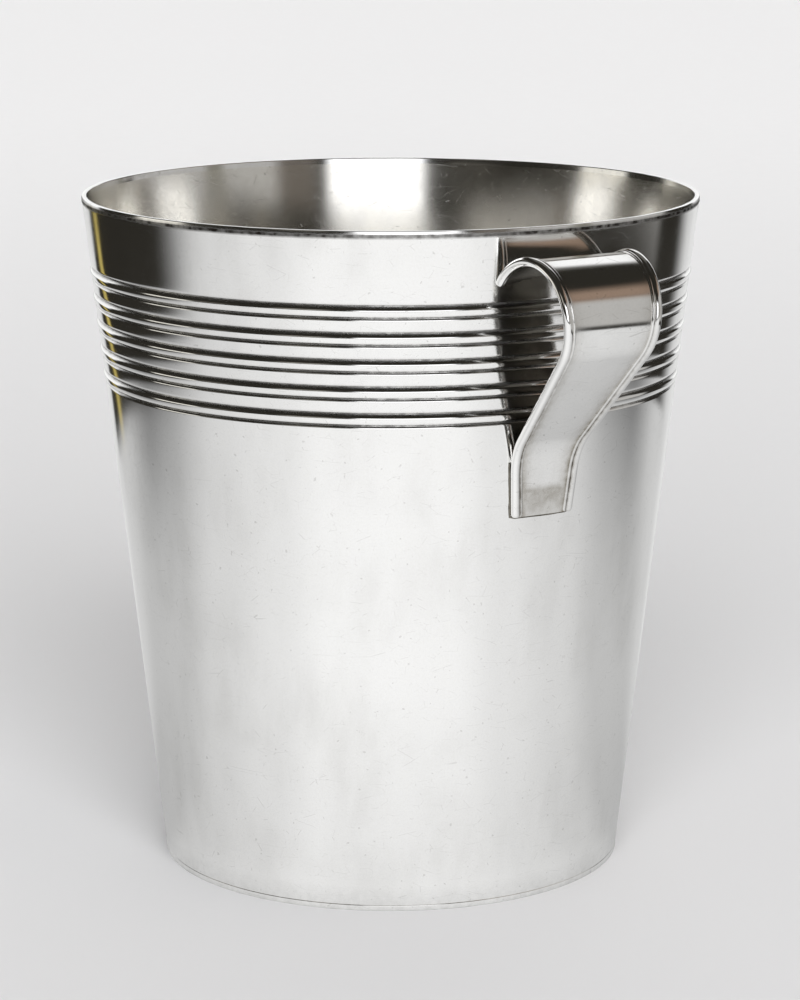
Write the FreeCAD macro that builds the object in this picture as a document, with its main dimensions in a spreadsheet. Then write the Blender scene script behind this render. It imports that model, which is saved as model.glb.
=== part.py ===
import FreeCAD, Part
import math
import os
import Sketcher
from FreeCAD import Vector

# Champagne bucket: a conical wall with raised reeds, a rim wire, a base plate on a foot ring, and two
# curled strap handles with a border wire along each edge.  +Z is up, the origin is the middle of the
# foot at the height of the table, and the handles stand on the +X and -X sides.  Lengths are in mm
# and angles in degrees.

DRIVING_SIZES = {
    "bucket_height": 219.4,
    "rim_radius": 100.0,
    "foot_radius": 75.4,
    "wall_thickness": 1.6,
    "reed_count": 5,
    "reed_pitch": 8.35,
    "lowest_reed_height": 161.33,
    "reed_bulge": 0.4,
    "reed_roundness": 3.5,
    "groove_spread": 3.64,
    "groove_depth": 0.65,
    "rim_wire_height": 1.9,
    "rim_wire_width": 2.3,
    "rim_wire_rounding": 0.6,
    "foot_ring_height": 1.9,
    "foot_ring_width": 5.0,
    "foot_ring_rounding": 0.3,
    "base_thickness": 1.4,
    "base_ledge": 12.0,
    "base_step_width": 8.0,
    "base_rise": 2.0,
    "strap_thickness": 1.1,
    "strap_top_half_width": 19.75,
    "strap_foot_half_width": 9.5,
    "curl_radius": 17.0,
    "curl_centre_out": 110.8,
    "curl_centre_height": 193.85,
    "curl_start_angle": 165.0,
    "leg_slope": 47.0,
    "ankle_radius": 20.0,
    "foot_standoff": 0.45,
    "strap_foot_height": 129.0,
    "strap_setback": 0.4,
    "bead_radius": 1.45,
    "fine_reed_radius": 0.55,
    "fine_reed_inset": 1.65,
}

WORKED_OUT_SIZES = {
    "wall_slope": "=(rim_radius - foot_radius) / bucket_height",
    "wall_bottom_radius": "=foot_radius + wall_slope * foot_ring_height",
    "wall_top_height": "=bucket_height - rim_wire_height",
    "wall_top_radius": "=foot_radius + wall_slope * wall_top_height",
    "wall_height": "=wall_top_height - foot_ring_height",
    "wall_level_thickness": "=wall_thickness * sqrt(1 + wall_slope * wall_slope)",
    "reed_centre_inset": "=reed_roundness - reed_bulge",
    "rim_wire_bore": "=rim_radius - rim_wire_width",
    "foot_ring_bore": "=wall_bottom_radius - foot_ring_width",
    "base_edge_radius": "=wall_bottom_radius - wall_level_thickness",
    "base_ledge_radius": "=base_edge_radius - base_ledge",
    "base_panel_radius": "=base_ledge_radius - base_step_width",
    "base_ledge_top": "=foot_ring_height + base_thickness",
    "base_panel_bottom": "=foot_ring_height + base_rise",
    "base_panel_top": "=base_panel_bottom + base_thickness",
}

doc = FreeCAD.newDocument("champagne_bucket")


def make_sheet():
    """Put every size in the spreadsheet, the driving ones as numbers and the others as formulas."""
    sheet = doc.addObject("Spreadsheet::Sheet", "sizes")
    cells = {**DRIVING_SIZES, **WORKED_OUT_SIZES}
    for row, (name, content) in enumerate(cells.items(), start=1):
        sheet.set(f"A{row}", name)
        sheet.set(f"B{row}", str(content))
        sheet.setAlias(f"B{row}", name)
    doc.recompute()
    return sheet


sizes = make_sheet()


# ---- body wall -------------------------------------------------------------------------------------

def bound_cone(name, bottom_radius, top_radius):
    """A frustum as tall as the wall, with its radii and its place bound to the sheet."""
    frustum = doc.addObject("Part::Cone", name)
    frustum.setExpression("Radius1", bottom_radius)
    frustum.setExpression("Radius2", top_radius)
    frustum.setExpression("Height", "sizes.wall_height")
    frustum.setExpression("Placement.Base.z", "sizes.foot_ring_height")
    return frustum


def bound_ring(name, inset, tube_radius, height):
    """A round ring whose centre line lies the inset inside the wall's outer face at a height."""
    ring = doc.addObject("Part::Torus", name)
    ring.setExpression("Radius1", f"sizes.foot_radius + sizes.wall_slope * ({height}) - {inset}")
    ring.setExpression("Radius2", tube_radius)
    ring.setExpression("Placement.Base.z", height)
    return ring


def make_body_wall():
    """The conical wall: five raised reeds outside, each between two rolled grooves, smooth inside."""
    outside = bound_cone("wall_outside", "sizes.wall_bottom_radius", "sizes.wall_top_radius")
    inside = bound_cone("wall_inside",
                        "sizes.wall_bottom_radius - sizes.wall_level_thickness",
                        "sizes.wall_top_radius - sizes.wall_level_thickness")
    reeds = []
    grooves = []
    for index in range(int(sizes.reed_count)):
        height = f"sizes.lowest_reed_height + {index} * sizes.reed_pitch"
        reeds.append(bound_ring(f"reed_{index}", "sizes.reed_centre_inset", "sizes.reed_roundness", height))
        for side, sign in (("lower", "-"), ("upper", "+")):
            groove_height = f"{height} {sign} sizes.groove_spread / 2"
            grooves.append(bound_ring(f"groove_{index}_{side}", "0", "sizes.groove_depth", groove_height))
    reeded_outside = doc.addObject("Part::MultiFuse", "reeded_outside")
    reeded_outside.Shapes = [outside] + reeds
    cutters = doc.addObject("Part::MultiFuse", "wall_cutters")
    cutters.Shapes = [inside] + grooves
    wall = doc.addObject("Part::Cut", "body_wall")
    wall.Base = reeded_outside
    wall.Tool = cutters
    return wall


# ---- turned pieces ----------------------------------------------------------------------------------

# Numbers that a sketch gives its own axes.
LEVEL_AXIS = -1
UPRIGHT_AXIS = -2


def origin_part(body, role):
    return next(part for part in body.Origin.OriginFeatures if part.Role == role)


def bind_corner(sketch, line, direction, size_name, axis):
    """Bind a line's first point to a size along a direction, or hold it on the axis if there is none."""
    if size_name is None:
        sketch.addConstraint(Sketcher.Constraint("PointOnObject", line, 1, axis))
        return
    value = getattr(sizes, size_name)
    number = sketch.addConstraint(Sketcher.Constraint(direction, -1, 1, line, 1, value))
    sketch.setExpression(f"Constraints[{number}]", f"sizes.{size_name}")


def bound_outline(body, corners):
    """A closed outline in the XZ plane; a corner is a pair of sheet names, None for on the axis."""
    sketch = body.newObject("Sketcher::SketchObject", body.Name + "_outline")
    sketch.AttachmentSupport = (origin_part(body, "XZ_Plane"), [""])
    sketch.MapMode = "FlatFace"
    points = [Vector(*(getattr(sizes, name) if name else 0 for name in corner), 0) for corner in corners]
    for index, point in enumerate(points):
        following = points[(index + 1) % len(points)]
        sketch.addGeometry(Part.LineSegment(point, following), False)
    for index, (x, z) in enumerate(corners):
        following = (index + 1) % len(corners)
        sketch.addConstraint(Sketcher.Constraint("Coincident", index, 2, following, 1))
        bind_corner(sketch, index, "DistanceX", x, UPRIGHT_AXIS)
        bind_corner(sketch, index, "DistanceY", z, LEVEL_AXIS)
    return sketch


def turned_body(name, corners):
    """A body turned round Z from a bound outline."""
    body = doc.addObject("PartDesign::Body", name)
    turned = body.newObject("PartDesign::Revolution", name + "_turned")
    turned.Profile = bound_outline(body, corners)
    turned.ReferenceAxis = (origin_part(body, "Z_Axis"), [""])
    turned.Angle = 360
    doc.recompute()
    return body


def round_circles(body, heights, radius):
    """Round the body's circular edges that lie at one of the heights; radius is a sheet name."""
    turned = body.Tip
    names = []
    for number, edge in enumerate(turned.Shape.Edges, start=1):
        is_circle = isinstance(edge.Curve, Part.Circle)
        if is_circle and any(abs(edge.Curve.Center.z - height) < 0.001 for height in heights):
            names.append(f"Edge{number}")
    rounding = body.newObject("PartDesign::Fillet", body.Name + "_rounding")
    rounding.Base = (turned, names)
    rounding.setExpression("Radius", f"sizes.{radius}")
    doc.recompute()


def make_rim_wire():
    """The drawn wire soldered along the wall's top edge, rounded over on both sides."""
    body = turned_body("rim_wire", [
        ("rim_wire_bore", "wall_top_height"),
        ("rim_radius", "wall_top_height"),
        ("rim_radius", "bucket_height"),
        ("rim_wire_bore", "bucket_height"),
    ])
    round_circles(body, [sizes.bucket_height], "rim_wire_rounding")
    return body


def make_foot_ring():
    """The flat ring under the wall and the base plate; its softened edges leave a fine seam."""
    body = turned_body("foot_ring", [
        ("foot_ring_bore", None),
        ("wall_bottom_radius", None),
        ("wall_bottom_radius", "foot_ring_height"),
        ("foot_ring_bore", "foot_ring_height"),
    ])
    round_circles(body, [0, sizes.foot_ring_height], "foot_ring_rounding")
    return body


def make_base_plate():
    """The bottom disc: a flat ledge on the foot ring and a panel pushed up clear of the table."""
    body = turned_body("base_plate", [
        (None, "base_panel_bottom"),
        ("base_panel_radius", "base_panel_bottom"),
        ("base_ledge_radius", "foot_ring_height"),
        ("base_edge_radius", "foot_ring_height"),
        ("base_edge_radius", "base_ledge_top"),
        ("base_ledge_radius", "base_ledge_top"),
        ("base_panel_radius", "base_panel_top"),
        (None, "base_panel_top"),
    ])
    return body


# ---- handles ----------------------------------------------------------------------------------------

def from_angle(degrees, length=1.0):
    """A vector in the XZ plane, at an angle from +X towards +Z."""
    return Vector(math.cos(math.radians(degrees)), 0, math.sin(math.radians(degrees))) * length


def side_view():
    """The +X strap's centre line seen from the side, as two arcs and two straight runs.

    An arc is (centre, radius, first angle, last angle); a straight run is (first point, last point).
    The curl rises out of the wall and turns over, the leg slopes back to the wall, the ankle bends
    it parallel to the wall, and the foot lies on the wall.
    """
    lean = math.degrees(math.atan(sizes.wall_slope))
    curl_centre = Vector(sizes.curl_centre_out, 0, sizes.curl_centre_height)
    curl_end_angle = sizes.leg_slope - 90
    leg_top = curl_centre + from_angle(curl_end_angle, sizes.curl_radius)
    down_leg = from_angle(180 + sizes.leg_slope)
    down_wall = from_angle(270 - lean)
    wall_foot = Vector(sizes.foot_radius, 0, 0) + from_angle(-lean, sizes.foot_standoff)
    to_wall = wall_foot - leg_top
    leg_length = (to_wall.x * down_wall.z - to_wall.z * down_wall.x) / (
        down_leg.x * down_wall.z - down_leg.z * down_wall.x)
    corner = leg_top + down_leg * leg_length
    corner_turn = 90 - lean - sizes.leg_slope
    corner_trim = sizes.ankle_radius * math.tan(math.radians(corner_turn / 2))
    leg_bottom = corner - down_leg * corner_trim
    foot_top = corner + down_wall * corner_trim
    ankle_centre = leg_bottom + from_angle(sizes.leg_slope - 90, sizes.ankle_radius)
    foot_length = (foot_top.z - sizes.strap_foot_height) / -down_wall.z
    foot_bottom = foot_top + down_wall * foot_length
    return {
        "curl": (curl_centre, sizes.curl_radius, sizes.curl_start_angle, curl_end_angle),
        "leg": (leg_top, leg_bottom),
        "ankle": (ankle_centre, sizes.ankle_radius, 90 + sizes.leg_slope, 180 - lean),
        "foot": (foot_top, foot_bottom),
    }


def arc_points(arc, count):
    centre, radius, first, last = arc
    return [centre + from_angle(first + (last - first) * step / (count - 1), radius) for step in range(count)]


def line_points(run, count):
    first, last = run
    return [first + (last - first) * (step / (count - 1)) for step in range(count)]


def centre_line():
    """Evenly spread points along the side view, from the start of the curl to the end of the foot."""
    view = side_view()
    points = arc_points(view["curl"], 17)
    points += line_points(view["leg"], 9)[1:]
    points += arc_points(view["ankle"], 5)[1:]
    points += line_points(view["foot"], 5)[1:]
    return points


def side_edges(outward):
    """The strap's side view as edges, shifted outward from the centre line by a distance.

    The strap stops a little short of the border wires, so that the two wires part it cleanly.
    """
    view = side_view()
    edges = []
    for name, sign in (("curl", 1), ("leg", 0), ("ankle", -1), ("foot", 0)):
        if sign:
            centre, radius, first, last = view[name]
            shifted = (centre, radius + sign * outward, first, last)
            start, middle, end = arc_points(shifted, 3)
            edges.append(Part.Arc(start, middle, end).toShape())
        else:
            first, last = view[name]
            along = (last - first).normalize()
            if name == "foot":
                last = last - along * sizes.strap_setback
            away = Vector(-along.z, 0, along.x) * outward
            edges.append(Part.LineSegment(first + away, last + away).toShape())
    return edges


def make_strap_blank():
    """The bent strap before its edges are trimmed: a band as wide as the strap's widest place."""
    outer = side_edges(sizes.strap_thickness / 2)
    inner = side_edges(-sizes.strap_thickness / 2)
    start_cap = Part.LineSegment(outer[0].Vertexes[0].Point, inner[0].Vertexes[0].Point).toShape()
    end_cap = Part.LineSegment(outer[-1].Vertexes[-1].Point, inner[-1].Vertexes[-1].Point).toShape()
    outline = Part.Wire(Part.__sortEdges__(outer + inner + [start_cap, end_cap]))
    half_width = sizes.strap_top_half_width
    band = Part.Face(outline)
    band.translate(Vector(0, -half_width, 0))
    return band.extrude(Vector(0, 2 * half_width, 0))


def border_section(centre, inward, outward):
    """The border wire's outline: the bead's circle joined to the fine reed's, as two arcs."""
    reed_out = sizes.strap_thickness / 2
    spread = math.hypot(sizes.fine_reed_inset, reed_out)
    tilt = math.degrees(math.atan2(reed_out, sizes.fine_reed_inset))
    reach = (spread ** 2 + sizes.bead_radius ** 2 - sizes.fine_reed_radius ** 2) / (2 * spread)
    half_opening = math.degrees(math.acos(reach / sizes.bead_radius))

    def around(middle, degrees, radius):
        turned = math.radians(degrees)
        return middle + inward * (radius * math.cos(turned)) + outward * (radius * math.sin(turned))

    reed_centre = around(centre, tilt, spread)
    upper = around(centre, tilt + half_opening, sizes.bead_radius)
    lower = around(centre, tilt - half_opening, sizes.bead_radius)
    bead = Part.Arc(upper, around(centre, tilt + 180, sizes.bead_radius), lower)
    reed = Part.Arc(lower, around(reed_centre, tilt, sizes.fine_reed_radius), upper)
    return Part.Wire([bead.toShape(), reed.toShape()])


def make_border(side):
    """One edge's border wire: a round bead with a fine reed inside it; side is -1 front, +1 rear."""
    flat = centre_line()
    travelled = [0.0]
    for before, after in zip(flat, flat[1:]):
        travelled.append(travelled[-1] + (after - before).Length)
    narrowing = (sizes.strap_foot_half_width - sizes.strap_top_half_width) / travelled[-1]
    path = [point + Vector(0, side * (sizes.strap_top_half_width + narrowing * distance), 0)
            for point, distance in zip(flat, travelled)]
    curve = Part.BSplineCurve()
    curve.interpolate(path)

    outward = from_angle(sizes.curl_start_angle)
    inward = Vector(0, -side, 0)
    section = border_section(path[0], inward, outward)

    sweep = Part.BRepOffsetAPI.MakePipeShell(Part.Wire(curve.toShape()))
    sweep.setBiNormalMode(Vector(0, 1, 0))
    sweep.add(section)
    sweep.build()
    sweep.makeSolid()
    return sweep.shape()


def make_handle_shapes():
    """The strap and its two borders for the +X side, coped to the wall that they are soldered to."""
    wall_core = Part.makeCone(sizes.foot_radius, sizes.rim_radius, sizes.bucket_height)
    front = make_border(-1)
    rear = make_border(1)
    strips = make_strap_blank().cut([front, rear, wall_core]).Solids
    strap = max(strips, key=lambda strip: strip.Volume)
    return {"strap": strap, "front_border": front.cut(wall_core), "rear_border": rear.cut(wall_core)}


def place_piece(name, shape, turn):
    """A handle piece as a document object, turned round Z to its side of the bucket."""
    piece = doc.addObject("Part::Feature", name)
    piece.Shape = shape
    piece.Placement = FreeCAD.Placement(Vector(0, 0, 0), Vector(0, 0, 1), turn)
    return piece


def make_handles():
    """Both handles; half a turn brings the right handle's rear border to the left handle's front."""
    shapes = make_handle_shapes()
    return [
        place_piece("right_handle_strap", shapes["strap"], 0),
        place_piece("right_handle_front_border", shapes["front_border"], 0),
        place_piece("right_handle_rear_border", shapes["rear_border"], 0),
        place_piece("left_handle_strap", shapes["strap"], 180),
        place_piece("left_handle_front_border", shapes["rear_border"], 180),
        place_piece("left_handle_rear_border", shapes["front_border"], 180),
    ]


# ---- checks and files ---------------------------------------------------------------------------------

def check_document():
    """Stop if any object of the document failed to compute."""
    doc.recompute()
    for item in doc.Objects:
        if "Invalid" in item.State or "Error" in item.State:
            raise RuntimeError(f"{item.Label} failed: {item.State}")


def write_piece(piece):
    """Check one piece's shape, print its size and write its file."""
    shape = piece.Shape
    if shape.isNull() or not shape.isValid() or len(shape.Solids) != 1:
        raise RuntimeError(f"{piece.Label} has no single valid solid")
    box = shape.BoundBox
    print(f"{piece.Label}: {shape.Volume:.0f} mm3, X {box.XMin:.2f} to {box.XMax:.2f}, "
          f"Y {box.YMin:.2f} to {box.YMax:.2f}, Z {box.ZMin:.2f} to {box.ZMax:.2f}")
    shape.exportStep(f"parts/{piece.Label}.step")


pieces = [make_body_wall(), make_rim_wire(), make_foot_ring(), make_base_plate()] + make_handles()
check_document()
os.makedirs("parts", exist_ok=True)
for piece in pieces:
    write_piece(piece)
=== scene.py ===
import math

import bpy
from mathutils import Matrix, Vector, noise


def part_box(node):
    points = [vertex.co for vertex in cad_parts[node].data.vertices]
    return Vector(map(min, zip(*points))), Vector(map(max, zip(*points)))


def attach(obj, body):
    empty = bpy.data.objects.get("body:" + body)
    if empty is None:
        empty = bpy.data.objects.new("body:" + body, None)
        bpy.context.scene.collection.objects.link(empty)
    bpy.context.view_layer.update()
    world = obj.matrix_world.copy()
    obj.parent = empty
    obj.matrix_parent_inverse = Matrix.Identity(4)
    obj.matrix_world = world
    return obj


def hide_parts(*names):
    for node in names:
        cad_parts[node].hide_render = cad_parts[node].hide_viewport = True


# The looks of a silver champagne bucket: a conical wall with five rolled reeds, a rim wire, a base
# plate on a foot ring, and two curled strap handles with a border wire along each edge.
# Everything is in metres, +Z is up and the handles stand on the +X and -X sides.

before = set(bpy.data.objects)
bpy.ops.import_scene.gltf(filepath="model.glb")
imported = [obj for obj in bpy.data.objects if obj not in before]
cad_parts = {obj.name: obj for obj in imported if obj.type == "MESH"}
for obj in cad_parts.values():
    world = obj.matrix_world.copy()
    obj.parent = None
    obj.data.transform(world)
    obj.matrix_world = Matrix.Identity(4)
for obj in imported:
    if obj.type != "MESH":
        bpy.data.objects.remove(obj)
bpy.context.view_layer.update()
MM = 0.001

# ---- sizes ------------------------------------------------------------------------------------------

RIM_LOW, RIM_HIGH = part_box("rim_wire")
FOOT_LOW, FOOT_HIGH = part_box("foot_ring")
PLATE_LOW, PLATE_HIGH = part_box("base_plate")
BUCKET_HEIGHT = RIM_HIGH[2]
RIM_RADIUS = RIM_HIGH[1]
FOOT_RADIUS = 75.4 * MM
WALL_SLOPE = (RIM_RADIUS - FOOT_RADIUS) / BUCKET_HEIGHT
WALL_LEAN = math.atan(WALL_SLOPE)
WALL_THICKNESS = 1.6 * MM
WALL_BOTTOM = FOOT_HIGH[2]
WALL_TOP = RIM_LOW[2]

REED_COUNT = 5
REED_PITCH = 8.35 * MM
LOWEST_REED = 161.33 * MM
# One reed and the two grooves beside it, from the top down: height above the reed's middle and
# distance out from the cone, both in millimetres.
REED_SECTION = (
    (3.05, 0.0), (2.55, -0.05), (2.15, -0.23), (1.95, -0.50), (1.82, -0.62), (1.62, -0.56),
    (1.40, -0.38), (0.85, 0.12), (0.55, 0.30), (0.30, 0.37), (-0.15, 0.40), (-0.80, 0.35),
    (-1.35, 0.14), (-1.68, -0.33), (-1.82, -0.58), (-1.95, -0.50), (-2.50, -0.08), (-2.80, -0.01),
    (-3.0, 0.0),
)

REED_BAND_LOW = LOWEST_REED + REED_SECTION[-1][0] * MM
REED_BAND_HIGH = LOWEST_REED + (REED_COUNT - 1) * REED_PITCH + REED_SECTION[0][0] * MM

# How far the rim wire's roundings reach in across its top and down its side, in metres.
RIM_OUTER_ROUND = (0.25 * MM, 0.25 * MM)
RIM_INNER_ROUND = (0.35 * MM, 0.35 * MM)
# Over its topmost RIM_FACE_DEPTH, the rim wire's outer face leans in by RIM_FACE_LEAN.
RIM_FACE_LEAN = 0.12 * MM
RIM_FACE_DEPTH = 1.0 * MM
# The wall is darkened in an uneven band this far down from the rim wire.
RIM_DARK_BAND = 0.8 * MM
FOOT_RING_WIDTH = 5.0 * MM
FOOT_ROUNDING = 0.3 * MM

BASE_THICKNESS = 1.4 * MM
BASE_LEDGE = 12.0 * MM
BASE_STEP = 8.0 * MM
BASE_RISE = 2.0 * MM

# The strap, with angles in degrees: the curl starts against the wall at CURL_START, turned from +X
# towards +Z, and the leg slopes back to the wall LEG_SLOPE below level. The half widths reach to the
# middle of the borders' beads, and the strap's own metal stops BORDER_INSET short of that.
STRAP_THICKNESS = 1.1 * MM
STRAP_TOP_HALF_WIDTH = 19.4 * MM
STRAP_FOOT_HALF_WIDTH = 9.5 * MM
CURL_RADIUS = 17.0 * MM
CURL_CENTRE = Vector((110.8 * MM, 0.0, 193.85 * MM))
CURL_START = 150.0
LEG_SLOPE = 47.0
ANKLE_RADIUS = 20.0 * MM
FOOT_STANDOFF = 0.45 * MM
STRAP_FOOT_HEIGHT = 129.0 * MM
STRAP_CROWN = 0.06 * MM
BORDER_INSET = 1.2 * MM
BEAD_RADIUS = 1.45 * MM
FINE_REED_RADIUS = 0.55 * MM
FINE_REED_INSET = 1.65 * MM
BORDER_END_ROUNDING = 1.2 * MM
# The handle's pieces sink this far into the wall where they lie on it.
HANDLE_SINK = 0.05 * MM

# The line of solder, made dark so that it also paints the thin shadow round the strap's foot, lies this
# far beside the middle of the beads and below the strap's end.
SOLDER_GAP = 1.35 * MM
SOLDER_DROP = 0.35 * MM
SOLDER_RADIUS = 0.34 * MM
# The strap is soldered where its middle is nearer to the wall than this.
SOLDER_REACH = 0.9 * MM

ROUND_STEPS = 360
SHARP_EDGE = math.radians(40)

# The side that the bucket is seen from is turned this far from -Y, so that a handle shows.
FRONT_TURN = math.radians(59.0)
TO_FRONT = Matrix.Rotation(FRONT_TURN, 4, "Z")


# ---- outlines and meshes ----------------------------------------------------------------------------

def wall_radius(height):
    """Radius of the wall's outer cone at a height."""
    return FOOT_RADIUS + WALL_SLOPE * height


def smooth_value(points, at):
    """The value at a position on a smooth curve through (position, value) points in rising order.

    The curve never overshoots its points.
    """
    if at <= points[0][0] or at >= points[-1][0]:
        return points[0][1] if at <= points[0][0] else points[-1][1]
    index = next(i for i in range(len(points) - 1) if points[i + 1][0] >= at)
    slopes = [(b[1] - a[1]) / (b[0] - a[0]) for a, b in zip(points, points[1:])]

    def tangent(place):
        if place == 0 or place == len(points) - 1:
            return 0.0
        before, after = slopes[place - 1], slopes[place]
        return 0.0 if before * after <= 0 else 2 * before * after / (before + after)

    (left, low), (right, high) = points[index], points[index + 1]
    span = right - left
    t = (at - left) / span
    return (low * (1 + 2 * t) * (1 - t) ** 2 + high * t * t * (3 - 2 * t)
            + span * t * (1 - t) * (tangent(index) * (1 - t) - tangent(index + 1) * t))


def arc(centre, radii, first, last, steps):
    """(radius, height) points along part of an ellipse, angles in degrees."""
    points = []
    for step in range(steps + 1):
        angle = math.radians(first + (last - first) * step / steps)
        points.append((centre[0] + radii[0] * math.cos(angle), centre[1] + radii[1] * math.sin(angle)))
    return points


def new_piece(name, points, faces, materials):
    """A smooth-shaded mesh piece that rides on the body and takes its finish from a slot."""
    mesh = bpy.data.meshes.new(name)
    mesh.from_pydata(points, [], faces)
    mesh.validate()
    mesh.shade_smooth()
    mesh.set_sharp_from_angle(angle=SHARP_EDGE)
    for material in materials:
        mesh.materials.append(material)
    piece = bpy.data.objects.new(name, mesh)
    bpy.context.scene.collection.objects.link(piece)
    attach(piece, "root")
    return piece


def turned_mesh(outline, place):
    """Points and faces of a closed outline turned round Z; place(radius, height, angle) puts a point.

    The outline runs anticlockwise, and a row on the axis becomes a single point.
    """
    points = []
    rows = []
    for radius, height in outline:
        if radius == 0:
            rows.append([len(points)] * ROUND_STEPS)
            points.append((0.0, 0.0, height))
            continue
        rows.append(list(range(len(points), len(points) + ROUND_STEPS)))
        for step in range(ROUND_STEPS):
            points.append(place(radius, height, 2 * math.pi * step / ROUND_STEPS))
    faces = []
    for row, following in zip(rows, rows[1:] + rows[:1]):
        for step in range(ROUND_STEPS):
            ahead = (step + 1) % ROUND_STEPS
            corners = [row[step], row[ahead], following[ahead], following[step]]
            face = list(dict.fromkeys(corners))
            if len(face) > 2:
                faces.append(face)
    return points, faces


def even_place(radius, height, angle):
    """A point of a piece that is perfectly round."""
    return (radius * math.cos(angle), radius * math.sin(angle), height)


def limited(value):
    """A value kept between 0 and 1."""
    return min(1.0, max(0.0, value))


def set_soil_and_shade(piece, amounts):
    """Store how much tarnish, grime and painted shade each point holds, 0 to 1, for the material to read.
    """
    soil = piece.data.attributes.new("soil", "FLOAT", "POINT")
    soil.data.foreach_set("value", amounts)


# ---- materials --------------------------------------------------------------------------------------

def node(tree, kind, **settings):
    """A new shader node with its properties and plain input values set by name."""
    made = tree.nodes.new(kind)
    for key, value in settings.items():
        if hasattr(made, key):
            setattr(made, key, value)
        else:
            made.inputs[key.replace("_", " ")].default_value = value
    return made


def ramp(tree, source, low, high, bottom=0.0, top=1.0):
    """Map a value smoothly from low..high to bottom..top."""
    made = node(tree, "ShaderNodeMapRange", interpolation_type="SMOOTHSTEP")
    tree.links.new(source, made.inputs["Value"])
    for socket, value in (("From Min", low), ("From Max", high), ("To Min", bottom), ("To Max", top)):
        made.inputs[socket].default_value = value
    return made.outputs["Result"]


def calculate(tree, operation, first, second=0.0):
    """The result of a maths operation on two sockets or plain numbers."""
    made = node(tree, "ShaderNodeMath", operation=operation)
    for socket, value in zip(made.inputs, (first, second)):
        if isinstance(value, (int, float)):
            socket.default_value = value
        else:
            tree.links.new(value, socket)
    return made.outputs[0]


def mix_colour(tree, factor, first, second):
    """A blend of two colours, each a socket or a plain colour."""
    made = node(tree, "ShaderNodeMix", data_type="RGBA")
    tree.links.new(factor, made.inputs["Factor"])
    for socket, value in (("A", first), ("B", second)):
        target = next(s for s in made.inputs if s.name == socket and s.type == "RGBA")
        if isinstance(value, tuple):
            target.default_value = value + (1.0,)
        else:
            tree.links.new(value, target)
    return next(s for s in made.outputs if s.type == "RGBA")


def stretched(tree, scale, turn=(0.0, 0.0, 0.0)):
    """Object coordinates, turned (in radians) and scaled, for patterns that run in one direction."""
    place = node(tree, "ShaderNodeTexCoord")
    mapping = node(tree, "ShaderNodeMapping")
    mapping.inputs["Scale"].default_value = scale
    mapping.inputs["Rotation"].default_value = turn
    tree.links.new(place.outputs["Object"], mapping.inputs["Vector"])
    return mapping.outputs["Vector"]


def noise_value(tree, vector, scale, detail):
    """A cloudy pattern from 0 to 1 along a vector."""
    made = node(tree, "ShaderNodeTexNoise", Scale=scale, Detail=detail)
    tree.links.new(vector, made.inputs["Vector"])
    return made.outputs["Fac"]


# A scratch's breaks: how much finer than the scratches they are, and how softly they fade.
BREAK_FINENESS = 1.7
BREAK_SOFTNESS = 0.06


def hairlines(tree, vector, scale, width, cover):
    """Thin broken lines: cell borders of a stretched pattern, kept only where a noise exceeds cover."""
    cells = node(tree, "ShaderNodeTexVoronoi", feature="DISTANCE_TO_EDGE", Scale=scale)
    tree.links.new(vector, cells.inputs["Vector"])
    line = ramp(tree, cells.outputs["Distance"], 0.0, width, bottom=1.0, top=0.0)
    breaks = noise_value(tree, vector, scale=scale * BREAK_FINENESS, detail=2.0)
    broken = ramp(tree, breaks, cover, cover + BREAK_SOFTNESS)
    return calculate(tree, "MULTIPLY", line, broken)


# Linear colours of the metal itself, and how much of each kind of wear there is at wear 1.
CLEAN_METAL = (0.975, 0.973, 0.962)
CLOUDED_METAL = (0.83, 0.825, 0.81)
SCORED_METAL = (0.45, 0.44, 0.42)
TARNISH = (0.235, 0.165, 0.075)
CLOUDED_SHARE = 0.62
SPECKLED_SHARE = 0.14
SCORED_SHARE = 0.32
PATCH_ROUGHNESS = 0.05
SCRATCH_ROUGHNESS = 0.10
SOIL_ROUGHNESS = 0.35
GRAIN_HEIGHT = 0.30
SCRATCH_DEPTH = 0.5
RELIEF_STRENGTH = 0.10
RELIEF_DEPTH = 0.02 * MM


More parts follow.
